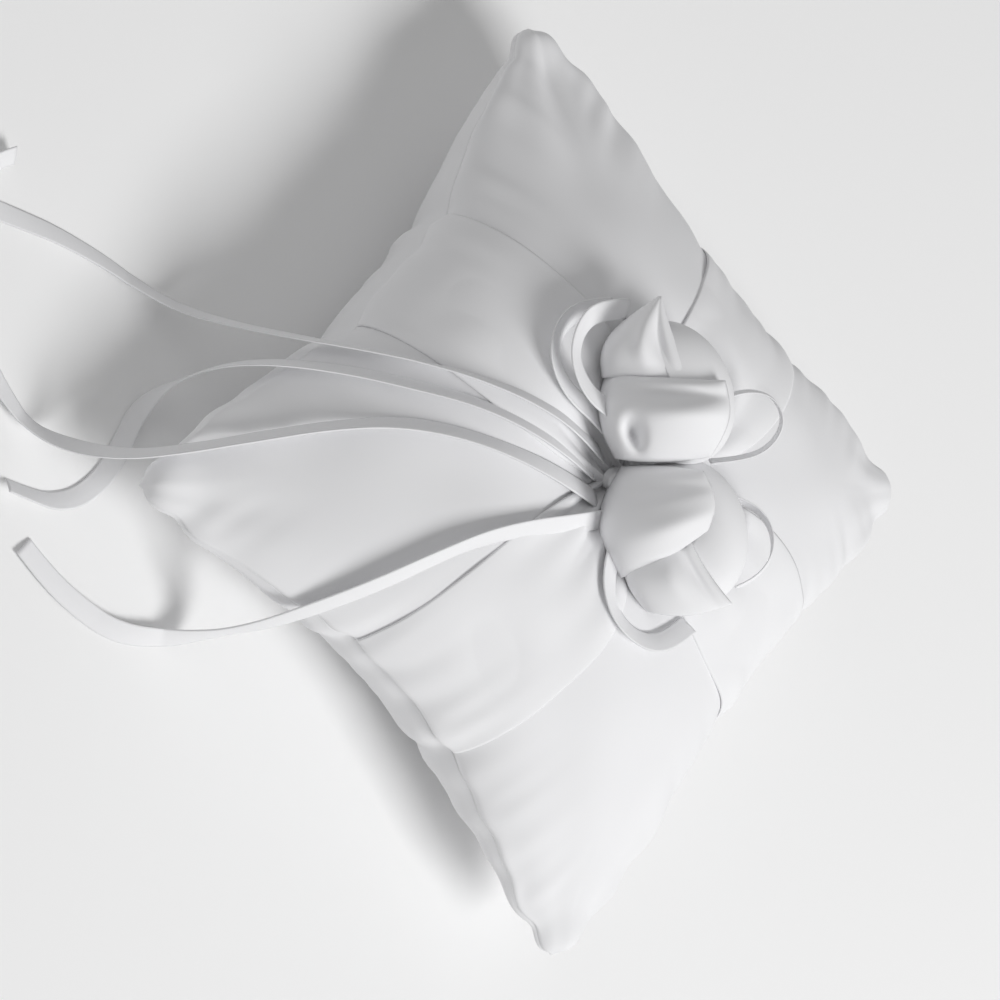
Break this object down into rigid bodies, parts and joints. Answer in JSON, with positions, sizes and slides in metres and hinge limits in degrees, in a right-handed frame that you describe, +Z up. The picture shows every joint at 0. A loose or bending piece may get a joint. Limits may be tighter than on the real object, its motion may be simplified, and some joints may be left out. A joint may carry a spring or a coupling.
{
  "type": "ring bearer pillow",
  "caption": "Plump square satin ring bearer cushion with crossed wide satin bands, paired folded satin rosebuds, bow loops and long narrow ribbon tails.",
  "frame": {"origin": "bottom centre of the cushion, on the surface that it rests on", "axes": "+Z up through the knot; X and Y along the cushion's edges; the ribbon tails leave over the corner at +X -Y"},
  "size_m": [0.2188, 0.275, 0.1018],
  "materials": {
    "cushion_satin": "matte-faced white satin",
    "band_satin": "glossy white satin",
    "petal_satin": "glossy white satin, folded",
    "narrow_ribbon_satin": "white double-face satin ribbon",
    "polyester_fibre": "loose white filling",
    "sewing_thread": "white polyester thread",
    "pearl": "pearlescent"
  },
  "bodies": {
    "root": {"front_panel": "cushion_satin", "back_panel": "cushion_satin", "fibre_fill": "polyester_fibre", "closing_stitches": "sewing_thread", "band_ribbon_x": "band_satin", "band_ribbon_y": "band_satin", "gathering_thread": "sewing_thread", "ribbon_knot": "narrow_ribbon_satin", "left_bud_front_petal": "petal_satin", "left_bud_side_petal": "petal_satin", "left_bud_back_petal": "petal_satin", "left_bud_heart": "petal_satin", "right_bud_front_petal": "petal_satin", "right_bud_side_petal": "petal_satin", "right_bud_back_petal": "petal_satin", "right_bud_heart": "petal_satin", "seed_pearls": "pearl", "bow_loop_left_lower": "narrow_ribbon_satin", "bow_loop_left_upper": "narrow_ribbon_satin", "bow_loop_right": "narrow_ribbon_satin", "bow_loop_far_left": "narrow_ribbon_satin", "bow_loop_far_right": "narrow_ribbon_satin", "ribbon_tail_far_left": "narrow_ribbon_satin", "ribbon_tail_left": "narrow_ribbon_satin", "ribbon_tail_middle": "narrow_ribbon_satin", "ribbon_tail_right": "narrow_ribbon_satin"}
  },
  "joints": []
}
